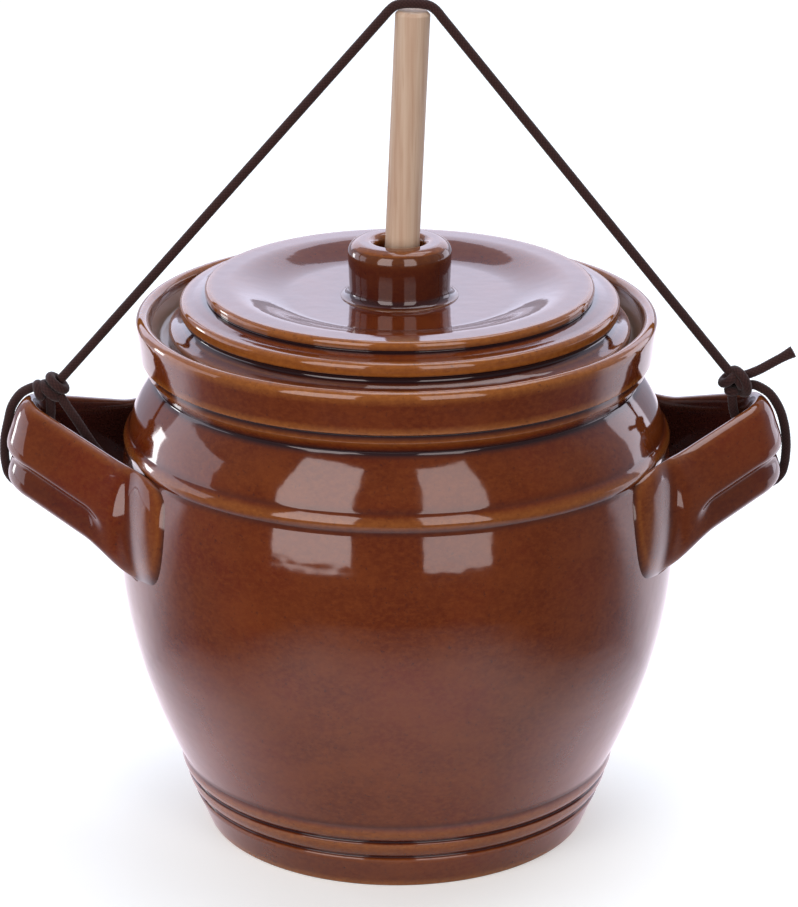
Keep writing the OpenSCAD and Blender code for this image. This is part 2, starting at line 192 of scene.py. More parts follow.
class JarSettings(bpy.types.PropertyGroup):
    """Everything that a user may change."""
    pot: bpy.props.PointerProperty(type=PotSizes)
    handles: bpy.props.PointerProperty(type=HandleSizes)
    lid: bpy.props.PointerProperty(type=LidSizes)
    press: bpy.props.PointerProperty(type=PressSizes)
    cord: bpy.props.PointerProperty(type=CordSizes)
    colours: bpy.props.PointerProperty(type=JarColours)
    stage: bpy.props.PointerProperty(type=StageSettings)


# Helpers for nodes

WHITE = (1.0, 1.0, 1.0, 1.0)


def add_node(tree, kind, feeds=None, **settings):
    """Adds one node. Settings are its own properties, and feeds maps an input to a value or to a socket that feeds it."""
    made = tree.nodes.new(kind)
    for key, value in settings.items():
        setattr(made, key, value)
    for key, value in (feeds or {}).items():
        if isinstance(value, bpy.types.NodeSocket):
            tree.links.new(value, made.inputs[key])
        else:
            made.inputs[key].default_value = value
    return made


def calc(tree, operation, *values, **settings):
    """Output of one arithmetic node."""
    return add_node(tree, "ShaderNodeMath", dict(enumerate(values)), operation=operation, **settings).outputs[0]


def blend(tree, share, first, second, kind="RGBA", **settings):
    """Output of a node that mixes two colours, or two numbers where kind is FLOAT."""
    a, b, result = (6, 7, 2) if kind == "RGBA" else (2, 3, 0)
    return add_node(tree, "ShaderNodeMix", {0: share, a: first, b: second}, data_type=kind, **settings).outputs[result]


def spread(tree, value, start=0.0, end=1.0, low=0.0, high=1.0, kind="LINEAR"):
    """Output of a node that maps start to end onto low to high and stops there."""
    feeds = {"Value": value, "From Min": start, "From Max": end, "To Min": low, "To Max": high}
    return add_node(tree, "ShaderNodeMapRange", feeds, interpolation_type=kind).outputs[0]


def noise(tree, where, millimetres, detail, rough=0.5):
    """Output of a noise whose pattern repeats about every so many millimetres."""
    feeds = {"Vector": where, "Scale": 1 / (millimetres * MM), "Detail": detail, "Roughness": rough}
    return add_node(tree, "ShaderNodeTexNoise", feeds).outputs["Fac"]


def scaled(tree, where, scale):
    """Coordinates scaled along each axis."""
    return add_node(tree, "ShaderNodeMapping", {"Vector": where, "Scale": scale}).outputs[0]


def attribute(tree, name):
    """Output of a number that the mesh keeps at its points."""
    return add_node(tree, "ShaderNodeAttribute", attribute_name=name).outputs["Fac"]


def new_material(name):
    """A material, its empty node tree and the object's own coordinates in it."""
    material = bpy.data.materials.new(name)
    material.use_nodes = True
    tree = material.node_tree
    tree.nodes.clear()
    return material, tree, add_node(tree, "ShaderNodeTexCoord").outputs["Object"]


def finish_material(material, height, strength, distance, feeds):
    """Ends a material in one surface that takes feeds and has a fine relief where height changes."""
    tree = material.node_tree
    bump = add_node(tree, "ShaderNodeBump", {"Height": height, "Strength": strength, "Distance": distance})
    surface = add_node(tree, "ShaderNodeBsdfPrincipled", {**feeds, "Normal": bump.outputs[0]})
    add_node(tree, "ShaderNodeOutputMaterial", {0: surface.outputs[0]})
    return material


def glaze_material(colours):
    """Brown salt glaze on thrown stoneware: glassy and mottled, golden where it thins over edges and dark in grooves.

    The darkness in grooves and creases is partly pooled glaze and partly painted shade.
    """
    material, tree, where = new_material("brown_stoneware_glaze")
    # The mottling lies along the throwing lines, so it is pressed together along Z
    pressed = scaled(tree, where, (1, 1, 1.5))
    red, cloud, grain, speck = (
        spread(tree, noise(tree, place, size, detail, rough), start, end) for place, size, detail, rough, start, end in (
            (where, 60, 3.0, 0.55, 0.46, 0.66), (pressed, 26, 5.0, 0.62, 0.40, 0.68),
            (pressed, 2.6, 3.0, 0.7, 0.40, 0.70), (where, 1.6, 2.0, 0.7, 0.62, 0.78)))
    thin, pool, raw = (attribute(tree, name) for name in ("thin_glaze", "pooled_glaze", "raw_clay"))
    broken = calc(tree, "MULTIPLY", thin, spread(tree, grain, low=0.7, high=1.1), use_clamp=True)
    colour = colours.glaze
    # The pooled share darkens grooves and creases, partly as pooled glaze and partly as painted shade
    for share, strength, other in ((red, 0.7, colours.glaze_red), (cloud, 0.6, colours.glaze_gold),
                                   (grain, 0.7, colours.glaze_gold), (broken, 1.0, colours.glaze_thin),
                                   (pool, 1.0, colours.glaze_dark_and_shade), (speck, 0.65, colours.glaze_dark_and_shade),
                                   (raw, 1.0, colours.clay)):
        colour = blend(tree, calc(tree, "MULTIPLY", share, strength), colour, other)
    # The wall keeps faint finger ridges from the wheel and a soft unevenness of the glaze
    ridges = noise(tree, scaled(tree, where, (0.12, 0.12, 1)), 9, 1.5)
    relief = calc(tree, "MULTIPLY_ADD", noise(tree, where, 7, 1.0, 0.4), 0.5, ridges)
    return finish_material(material, relief, 0.35, 0.35 * MM, {
        "Base Color": colour, "Roughness": spread(tree, raw, low=0.07, high=0.85), "IOR": 1.58})


def beech_material(name, colours, along):
    """Turned and sanded beech without a finish: pale, matt, with fine lines along the grain and short dark flecks."""
    material, tree, where = new_material(name)
    grain = scaled(tree, where, [0.03 if axis == along else 1.0 for axis in "XYZ"])
    lines = noise(tree, grain, 2.2, 4.0, 0.6)
    lined = blend(tree, spread(tree, lines, 0.36, 0.72), colours.wood, colours.wood_line)
    flecks = spread(tree, noise(tree, grain, 0.7, 1.0), 0.64, 0.74, high=0.5)
    return finish_material(material, lines, 0.25, 0.12 * MM, {
        "Base Color": blend(tree, flecks, lined, colours.wood_line), "Roughness": 0.62, "IOR": 1.5,
        "Specular IOR Level": 0.3})


def braid_material(colours):
    """Braided elastic cord: dark dyed yarn over rubber, matt with a soft sheen, with painted shade between the strands.
    """
    material, tree, where = new_material("braided_elastic_cord")
    fuzz = noise(tree, where, 0.8, 3.0)
    # Painted shade: darker where the braid lies low between its strands, a little lighter on their tops
    painted_shade = spread(tree, attribute(tree, "braid_height"), low=0.35, high=1.1)
    level = calc(tree, "MULTIPLY", painted_shade, spread(tree, fuzz, low=0.75, high=1.25))
    return finish_material(material, fuzz, 0.3, 0.1 * MM, {
        "Base Color": blend(tree, 1.0, colours.cord, level, blend_type="MULTIPLY"), "Roughness": 0.8,
        "Specular IOR Level": 0.15, "Sheen Weight": 0.15, "Sheen Roughness": 0.5})


# Helpers for outlines and meshes

def round_corners(corners, arc_step):
    """Outline through corners of (r, z, round), each corner cut by an arc of its own round."""
    outline = []
    for i, (r, z, radius) in enumerate(corners):
        here = Vector((r, z))
        if radius <= 0 or i in (0, len(corners) - 1):
            outline.append(here)
            continue
        back = Vector(corners[i - 1][:2]) - here
        ahead = Vector(corners[i + 1][:2]) - here
        half = back.angle(ahead) / 2
        cut = min(radius / math.tan(half), 0.48 * min(back.length, ahead.length))
        radius = cut * math.tan(half)
        back.normalize()
        ahead.normalize()
        centre = here + (back + ahead).normalized() * radius / math.sin(half)
        spoke = here + back * cut - centre
        sweep = math.pi - 2 * half
        turn = 1 if back.x * ahead.y - back.y * ahead.x < 0 else -1
        steps = max(2, math.ceil(sweep / arc_step))
        for k in range(steps + 1):
            a = turn * sweep * k / steps
            outline.append(centre + Vector((spoke.x * math.cos(a) - spoke.y * math.sin(a),
                                            spoke.x * math.sin(a) + spoke.y * math.cos(a))))
    return outline


def fill_gaps(outline, spacing):
    """The same outline with points added so that no step is longer than spacing."""
    filled = [outline[0]]
    for a, b in zip(outline, outline[1:]):
        if (b - a).length < 1e-7:
            continue
        steps = max(1, math.ceil((b - a).length / spacing))
        filled += [a.lerp(b, k / steps) for k in range(1, steps + 1)]
    return filled


def bulge(start, end, proud, steps):
    """Corners of a bead that swells outwards between two points, without its last point."""
    return [(start[0] + (end[0] - start[0]) * t + proud * math.sin(math.pi * t),
             start[1] + (end[1] - start[1]) * t, 0) for t in (k / steps for k in range(steps))]


def edge_shares(outline, reach=1.1 * MM):
    """How far an outline bends outwards, and inwards, at each point: a sharp edge gives 1."""
    places = np.array([tuple(p) for p in outline])
    steps = np.linalg.norm(np.diff(places, axis=0), axis=1)
    way = np.concatenate([[0], np.cumsum(steps)])
    step, full_bend = 0.2 * MM, 0.9
    fine = np.arange(0, way[-1], step)
    dense = np.stack([np.interp(fine, way, places[:, k]) for k in (0, 1)], axis=1)
    heading = np.unwrap(np.arctan2(np.gradient(dense[:, 1]), np.gradient(dense[:, 0])))
    turn = np.gradient(heading)
    kernel = np.exp(-0.5 * (np.arange(-25, 26) * step / reach) ** 2)
    smooth = np.convolve(turn, kernel, mode="same") / full_bend
    return [np.interp(way, fine, np.clip(sign * smooth, 0, 1)) for sign in (1, -1)]


def new_tree(name, inputs):
    """A Geometry Nodes tree that takes a start geometry, inputs with their defaults and a material, and its inputs."""
    tree = bpy.data.node_groups.new(name, "GeometryNodeTree")
    kinds = {int: "NodeSocketInt", float: "NodeSocketFloat", tuple: "NodeSocketVector"}
    tree.interface.new_socket("Start", in_out="INPUT", socket_type="NodeSocketGeometry")
    for key, default in inputs.items():
        tree.interface.new_socket(key, in_out="INPUT", socket_type=kinds[type(default)]).default_value = default
    tree.interface.new_socket("Material", in_out="INPUT", socket_type="NodeSocketMaterial")
    tree.interface.new_socket("Form", in_out="OUTPUT", socket_type="NodeSocketGeometry")
    return tree, add_node(tree, "NodeGroupInput").outputs


def finish_tree(tree, geometry, given):
    """Ends a Geometry Nodes tree: smooth shading, real geometry and the material."""
    smooth = add_node(tree, "GeometryNodeSetShadeSmooth", {"Geometry": geometry})
    real = add_node(tree, "GeometryNodeRealizeInstances", {"Geometry": smooth.outputs[0]})
    finished = add_node(tree, "GeometryNodeSetMaterial", {"Geometry": real.outputs[0], "Material": given["Material"]})
    add_node(tree, "NodeGroupOutput", {"Form": finished.outputs[0]})
    return tree


def stored(tree, geometry, name, value):
    """Geometry that keeps a number at its points under a name."""
    return add_node(tree, "GeometryNodeStoreNamedAttribute", {"Geometry": geometry, "Name": name, "Value": value},
                    data_type="FLOAT", domain="POINT").outputs[0]


def turning_tree():
    """Geometry Nodes that turn an outline in the XY plane round the Z axis: X is the radius and -Y the height."""
    tree, given = new_tree("turned_form", {"Steps": 240, "Centre": (0.0, 0.0, 0.0), "Tilt": (0.0, 0.0, 0.0)})
    # The outline is carried round a circle of this radius, so it first moves inwards by as much
    radius = 0.1
    outline = add_node(tree, "GeometryNodeMeshToCurve", {"Mesh": given["Start"]})
    moved = add_node(tree, "GeometryNodeTransform", {"Geometry": outline.outputs[0], "Translation": (-radius, 0, 0)})
    circle = add_node(tree, "GeometryNodeCurvePrimitiveCircle", {"Resolution": given["Steps"], "Radius": radius})
    turned = add_node(tree, "GeometryNodeCurveToMesh", {"Curve": circle.outputs[0], "Profile Curve": moved.outputs[0]})
    closed = add_node(tree, "GeometryNodeMergeByDistance", {"Geometry": turned.outputs[0], "Distance": 0.004 * MM})
    tilted = add_node(tree, "GeometryNodeTransform", {"Geometry": closed.outputs[0], "Translation": given["Centre"],
                                                      "Rotation": given["Tilt"]})
    return finish_tree(tree, tilted.outputs[0], given)


def braid_tree():
    """Geometry Nodes that lay a braided cord along a path, with strands that cross over and under each other."""
    tree, given = new_tree("braided_cord", {"Diameter": 4 * MM, "Relief": 0.16 * MM, "Strands": 8})
    sides, ring_spacing = 40, 0.36 * MM
    path = add_node(tree, "GeometryNodeMeshToCurve", {"Mesh": given["Start"]})
    even = add_node(tree, "GeometryNodeResampleCurve", {"Curve": path.outputs[0], "Length": ring_spacing}, mode="LENGTH")
    marked = stored(tree, even.outputs[0], "way", add_node(tree, "GeometryNodeSplineParameter").outputs["Length"])
    core = calc(tree, "SUBTRACT", calc(tree, "MULTIPLY", given["Diameter"], 0.5), given["Relief"])
    circle = add_node(tree, "GeometryNodeCurvePrimitiveCircle", {"Resolution": sides, "Radius": core})
    turn = calc(tree, "DIVIDE", add_node(tree, "GeometryNodeInputIndex").outputs[0], sides)
    ringed = stored(tree, circle.outputs[0], "turn", turn)
    tube = add_node(tree, "GeometryNodeCurveToMesh", {"Curve": marked, "Profile Curve": ringed, "Fill Caps": True})
    # Lanes of the strands that wind each way, one lane wide round the cord and along it
    along, around = (add_node(tree, "GeometryNodeInputNamedAttribute", {"Name": name}, data_type="FLOAT").outputs[0]
                     for name in ("way", "turn"))
    lane_w = calc(tree, "DIVIDE", calc(tree, "MULTIPLY", math.pi, given["Diameter"]), given["Strands"])
    across = calc(tree, "MULTIPLY", around, given["Strands"])
    forward = calc(tree, "DIVIDE", along, lane_w)
    cells, domes = [], []
    for winding in ("ADD", "SUBTRACT"):
        lane = calc(tree, winding, across, forward)
        cells.append(calc(tree, "FLOOR", lane))
        part = calc(tree, "SUBTRACT", lane, cells[-1])
        domes.append(calc(tree, "SINE", calc(tree, "MULTIPLY", part, math.pi)))
    over = calc(tree, "FLOORED_MODULO", calc(tree, "ADD", *cells), 2.0)
    tops = [calc(tree, "MULTIPLY", dome, calc(tree, "POWER", other, 0.45)) for dome, other in (domes, domes[::-1])]
    height = blend(tree, over, tops[0], tops[1], "FLOAT")
    normal = add_node(tree, "GeometryNodeInputNormal").outputs[0]
    lift = calc(tree, "MULTIPLY", height, given["Relief"])
    push = add_node(tree, "ShaderNodeVectorMath", {0: normal, "Scale": lift}, operation="SCALE")
    braided = add_node(tree, "GeometryNodeSetPosition", {
        "Geometry": stored(tree, tube.outputs[0], "braid_height", height), "Offset": push.outputs[0]})
    return finish_tree(tree, braided.outputs[0], given)


def placed(name, data):
    """A new object in the scene."""
    made = bpy.data.objects.new(name, data)
    bpy.context.scene.collection.objects.link(made)
    return made


def made_with(tree, name, start_mesh, **values):
    """A plain mesh object named name: start_mesh put through tree with its named inputs set, and the modifier gone."""
    source = placed(name + "_source", start_mesh)
    modifier = source.modifiers.new(tree.name, "NODES")
    modifier.node_group = tree
    sockets = {item.name: item.identifier for item in tree.interface.items_tree if item.item_type == "SOCKET"}
    for key, value in values.items():
        modifier[sockets[key.capitalize()]] = value
    graph = bpy.context.evaluated_depsgraph_get()
    mesh = bpy.data.meshes.new_from_object(source.evaluated_get(graph), preserve_all_data_layers=True, depsgraph=graph)
    bpy.data.objects.remove(source)
    mesh.name = name
    if not mesh.polygons:
        raise RuntimeError(f"{name} came out empty")
    return placed(name, mesh)


def set_shares(mesh, **shares):
    """Keeps shares of a finish at a mesh's points under their names."""
    for name, values in shares.items():
        mesh.attributes.new(name, "FLOAT", "POINT").data.foreach_set("value", values.astype(np.float32))


def turned(name, corners, spacing, steps, material, centre=(0.0, 0.0, 0.0), tilt=(0.0, 0.0, 0.0), arc_step=9,
           **shares):
    """A piece turned from corners of (r, z, round), with the shares of thin glaze, of pooled glaze with painted shade
    in its hollows, and of bare clay on it.

    The functions raw, dark and light give a point's share of bare clay, of glaze darker than its bends tell and of
    glaze thinner than its bends tell."""
    outline = fill_gaps(round_corners(corners, math.radians(arc_step)), spacing)
    mesh = bpy.data.meshes.new(name + "_outline")
    mesh.from_pydata([(p.x, -p.y, 0) for p in outline], [(i, i + 1) for i in range(len(outline) - 1)], [])
    raw, dark, light = (np.array([shares[key](p) if key in shares else 0 for p in outline], float)
                        for key in ("raw", "dark", "light"))
    thin, pool = edge_shares(outline)
    set_shares(mesh, thin_glaze=np.maximum(thin, light), pooled_glaze=np.maximum(pool, dark), raw_clay=raw)
    return made_with(shared("turning", turning_tree), name, mesh, steps=steps, material=material, centre=centre,
                     tilt=tilt)


def point_outwards(piece):
    """Turns a closed mesh's faces outwards where its volume comes out negative."""
    mesh = piece.data
    mesh.calc_loop_triangles()
    corners = np.empty(len(mesh.loop_triangles) * 3, np.int32)
    mesh.loop_triangles.foreach_get("vertices", corners)
    places = np.empty(len(mesh.vertices) * 3, np.float32)
    mesh.vertices.foreach_get("co", places)
    a, b, c = places.reshape(-1, 3)[corners.reshape(-1, 3)].astype(float).transpose(1, 0, 2)
    if np.einsum("ij,ij->i", a, np.cross(b, c)).sum() < 0:
        mesh.flip_normals()


def finish_piece(piece, body, slot, *nodes):
    """Puts a finished piece on its body and hides the solids that it stands for."""
    point_outwards(piece)
    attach(piece, body)
    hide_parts(*nodes)
    return piece


def settings():
    """The scene's own settings for the jar."""
    return bpy.context.scene.fermentation_jar


SHARED = {}


def shared(kind, maker):
    """A material or node tree that several pieces use, made once."""
    if kind not in SHARED:
        SHARED[kind] = maker()
    return SHARED[kind]


def glaze():
    """The glaze of the pot, the handles and the lid."""
    return shared("glaze", lambda: glaze_material(settings().colours))


# The pot's outside

def base_height(pot):
    """Height of the beads' upper edge, where the body starts."""
    return pot.foot_band_h + 2 * pot.bead_h


def body_r(pot, z):
    """Radius of the pot's outside without its beads and rib: a straight taper, then two curves that meet at the belly."""
    base_z = base_height(pot)
    if z < base_z:
        return pot.foot_r + (pot.base_r - pot.foot_r) * z / base_z
    if z < pot.belly_z:
        return pot.belly_r - (pot.belly_r - pot.base_r) * ((pot.belly_z - z) / (pot.belly_z - base_z)) ** 2
    top = pot.rib_z + pot.rib_h
    return pot.belly_r - (pot.belly_r - pot.shoulder_r) * ((z - pot.belly_z) / (top - pot.belly_z)) ** 2


def pot_corners(pot):
    """Corners of the pot's outline: up the outside, over the lip and down the inside."""
    base_z = base_height(pot)
    rib_top = pot.rib_z + pot.rib_h
    lip_z = pot.pot_h - pot.lip_round
    band_z = lip_z - 14.5 * MM
    band_r = pot.rim_r - 1.5 * MM
    step_r = band_r - 2 * MM
    hollow, hollow_r, ring_r = 0.6 * MM, pot.foot_r - 7 * MM, pot.foot_r - 6 * MM
    bead_steps, body_steps, lip_steps, inner_steps = 18, 60, 24, 40
    corners = [(0, hollow, 0), (hollow_r, hollow, 0.4 * MM), (ring_r, 0, 0.4 * MM), (pot.foot_r, 0, 1.5 * MM)]
    # Under each bead a narrow flat ledge slopes inwards and catches the light from above
    ledge_r, ledge_h = 0.9 * MM, 0.5 * MM
    for k in range(2):
        z = pot.foot_band_h + k * pot.bead_h
        r = body_r(pot, z)
        if k:
            corners += bulge(start, (r + ledge_r, z - ledge_h), pot.bead_proud - 0.4 * MM, bead_steps)
        corners += [(r + ledge_r * t, z - ledge_h * t, 0) for t in (1, 0.88, 0.6, 0.3)]
        start = (r, z)
    corners += bulge(start, (body_r(pot, base_z), base_z), pot.bead_proud, bead_steps)
    corners += [(body_r(pot, z), z, 0)
                for z in (base_z + (pot.rib_z - base_z) * k / body_steps for k in range(body_steps))]
    shoulder = (pot.shoulder_r, rib_top)
    neck = (pot.neck_r, pot.neck_z)
    corners += bulge((body_r(pot, pot.rib_z), pot.rib_z), shoulder, pot.rib_proud, bead_steps)
    corners += bulge(shoulder, neck, 1.5 * MM, bead_steps)
    corners += [(*neck, 1.0 * MM), (step_r, band_z - 4 * MM, 1.2 * MM), (step_r, band_z - 1 * MM, 0.5 * MM),
                (band_r, band_z, 1.0 * MM)]
    lip_r = pot.rim_r - pot.lip_round
    corners += [(lip_r + pot.lip_round * math.cos(a), lip_z + pot.lip_round * math.sin(a), 0)
                for a in (math.pi * k / lip_steps for k in range(lip_steps + 1))]
    corners += [(pot.gallery_r, pot.gallery_z, 2.5 * MM), (pot.mouth_r, pot.gallery_z, 1.2 * MM),
                (pot.mouth_r, pot.gallery_z - 9 * MM, 3 * MM)]
    floor_round = 10 * MM
    corner_z = pot.floor_t + floor_round
    corners += [(body_r(pot, z) - pot.wall, z, 0)
                for z in (rib_top + (corner_z - rib_top) * k / inner_steps for k in range(inner_steps + 1))]
    corners += [(body_r(pot, pot.floor_t) - pot.wall, pot.floor_t, floor_round), (0, pot.floor_t, 0)]
    return corners


class JAR_OT_pot(bpy.types.Operator):
    """Turns the pot from its outline"""
    bl_idname = "jar.pot"
    bl_label = "Pot"

    def execute(self, context):
        pot = settings().pot

        def bare_share(p):
            """The foot stands on bare clay, and the lid's seat is wiped before the fire."""
            if p.y < 0.75 * MM and p.x < pot.foot_r - 1 * MM:
                return 1
            inside = pot.mouth_r < p.x < pot.gallery_r + 3 * MM
            return 0.3 if inside and pot.gallery_z - 0.5 * MM < p.y < pot.pot_h - 1.5 * MM else 0

        piece = turned("stoneware_pot", pot_corners(pot), 3.4 * MM, 236, glaze(), raw=bare_share)
        finish_piece(piece, "jar", "glaze", "pot_body")
        return {"FINISHED"}


# The handles

# Where a strap's forms lie along it, in millimetres from its root: the pad's beginning and full size under and over the
# strap, the groove's beginning and full depth, and the middles of the valley and the welt
PAD_UNDER, PAD_OVER, GROOVE, VALLEY, WELT = (47, 22), (40, 12), (33, 46), 24, 7


def eased(value, start, end):
    """Share that grows smoothly from 0 at start to 1 at end."""
    t = np.clip((value - start) / (end - start), 0, 1)
    return t * t * (3 - 2 * t)


def strap_stations(handle, reach, wall_r, leg_steps, bend_steps):
    """Plan points along the strap's middle line from its back root to its front root.

    Each station is its point, the direction outwards and its way from the root's seam, all in millimetres."""
    thick, bend_r = handle.strap_t / MM, handle.bend_r / MM
    half_bend = math.pi / 2 - handle.leg_angle
    leg = np.array([-math.cos(handle.leg_angle), math.sin(handle.leg_angle)])
    out = np.array([math.cos(half_bend), math.sin(half_bend)])
    centre = np.array([wall_r + reach / MM - thick / 2 - bend_r, 0])
    face = centre + (bend_r + thick / 2) * out
    slope = face @ leg
    seam = -slope - math.sqrt(slope ** 2 - face @ face + wall_r ** 2)
    into_wall = 2.5
    leg_len = seam + into_wall
    ways = [leg_len * math.sin(math.pi / 2 * k / leg_steps) for k in range(leg_steps, 0, -1)]
    back_leg = [(centre + bend_r * out + way * leg, out, seam - way) for way in ways]
    flip = np.array([1, -1])
    angles = [half_bend * (1 - 2 * k / bend_steps) for k in range(bend_steps + 1)]
    spokes = [np.array([math.cos(a), math.sin(a)]) for a in angles]
    bend = [(centre + bend_r * spoke, spoke, seam) for spoke in spokes]
    return back_leg + bend + [(p * flip, o * flip, root) for p, o, root in reversed(back_leg)]


def strap_mesh(pot, handle, reach, drop):
    """Points, faces, thin glaze shares and painted shade shares of a right-hand strap: two lobes, a groove, and a
    valley and welt at each root.
    """
    wall_r = body_r(pot, handle.middle_z) / MM
    thick, groove_depth = handle.strap_t / MM, handle.groove_depth / MM
    faint_depth, valley_depth, welt_h = 0.4, 2.6, 1.3
    stations = strap_stations(handle, reach, wall_r, leg_steps=84, bend_steps=40)
    sides = 104
    angles = 2 * math.pi * np.arange(sides) / sides
    across, up = np.cos(angles), np.sin(angles)
    front = np.sqrt(np.clip(across, 0, 1))
    points, thin, pool = [], [], []
    for p, out, root in stations:
        # The pad widens further out below the strap than above it
        pad = np.where(up < 0, eased(root, *PAD_UNDER), eased(root, *PAD_OVER))
        away = p[0] - wall_r
        high = (handle.strap_h - handle.taper * away * MM / reach + handle.pad_grow * pad) / MM
        v = up * high / 2
        share = v / high
        # The groove is steep under the upper lobe and gentle over the lower one, and fades out before the pad
        fade = eased(root, *GROOVE)
        crease = (share + 0.17) * high
        deep = np.where(crease > 0, np.exp(-(crease / 3.0) ** 2), eased(-crease, 10.5, -1.5))
        faint = np.exp(-((share - 0.2) * high / 4.2) ** 2)
        valley = math.exp(-((root - VALLEY) / (4.2 if root > VALLEY else 7.5)) ** 2)
        welt = math.exp(-((root - WELT) / 7) ** 2)
        u = across * thick / 2 - (handle.lean * (1 - pad) - 0.04 * pad) * v
        u = u + front * (welt_h * welt - valley_depth * valley - fade * (groove_depth * deep + faint_depth * faint))
        points.append(np.stack([p[0] + u * out[0], p[1] + u * out[1],
                                (handle.middle_z - drop - handle.pad_drop * pad) / MM + handle.rise * away + v], axis=1))
        thin.append(np.clip(0.5 * np.clip(np.abs(up) - 0.85, 0, 1) / 0.15 + 0.3 * front * welt, 0, 1))
        # Painted shade: the glaze is darkened in the groove, on the lower lobe, in the valley and on the face turned to
        # the pot
        lower = np.clip((-share - 0.2) / 0.08, 0, 1)
        dark = front * (fade * (0.3 * deep + 0.25 * lower) + 0.25 * valley)
        pool.append(np.clip(dark + 0.8 * np.clip(-2 * across, 0, 1), 0, 1))
    points, thin, pool = np.array(points), np.array(thin), np.array(pool)
    roots = np.array([root for _, _, root in stations])[:, None]
    # Near its root the strap's face rounds down into the wall, and what lies deep in the wall stops just inside it
    radius = np.hypot(points[..., 0], points[..., 1])
    outer = np.array([[body_r(pot, z * MM) / MM for z in ring] for ring in points[..., 2]])
    gap = radius - outer
    rounding, sunk, deepest = 4.5, 1.2, 2.0
    fall = np.sqrt(np.clip(1 - np.clip((rounding - roots) / rounding, 0, 1) ** 2, 0, 1))
    gap = np.maximum((gap + sunk) * fall - sunk, -deepest)
    scale = (outer + gap) / radius
    points[..., 0] *= scale
    points[..., 1] *= scale
    # Painted shade darkens the crease where the strap meets the wall
    pool = np.maximum(pool, np.exp(-(gap / 0.8) ** 2) * 0.7)
    thin = np.maximum(thin, np.exp(-((gap - 1.7) / 0.7) ** 2) * 0.5)
    rings = len(stations)
    faces = [(i * sides + k, i * sides + n, (i + 1) * sides + n, (i + 1) * sides + k)
             for i in range(rings - 1) for k, n in ((k, (k + 1) % sides) for k in range(sides))]
    faces.append(tuple(range(sides - 1, -1, -1)))
    faces.append(tuple((rings - 1) * sides + k for k in range(sides)))
    return points.reshape(-1, 3) * MM, faces, thin.reshape(-1), pool.reshape(-1)


class JAR_OT_handles(bpy.types.Operator):
    """Builds the two strap handles"""
    bl_idname = "jar.handles"
    bl_label = "Handles"

    def execute(self, context):
        jar = settings()
        sizes = jar.handles
        for name, side, reach, drop, node in (
                ("strap_handle_right", 1, sizes.right_reach, 0, "right_handle"),
                ("strap_handle_left", -1, sizes.left_reach, sizes.left_drop, "left_handle")):
            points, faces, thin, pool = strap_mesh(jar.pot, sizes, reach, drop)
            mesh = bpy.data.meshes.new(name)
            mesh.from_pydata([(side * x, y, z) for x, y, z in points], [], faces)
            set_shares(mesh, thin_glaze=thin, pooled_glaze=pool)
            mesh.polygons.foreach_set("use_smooth", [True] * len(mesh.polygons))
            mesh.materials.append(glaze())
            finish_piece(placed(name, mesh), "jar", "glaze", node)
        return {"FINISHED"}


# The lid and its collar

def lid_levels(pot, lid):
    """Heights of the lid: seat, skirt's top, middle step, top step and dish."""
    seat = pot.gallery_z + 0.3 * MM
    skirt = seat + 12.5 * MM
    middle = skirt + 4.5 * MM
    top = middle + 5 * MM
    return seat, skirt, middle, top, top - lid.dish_depth


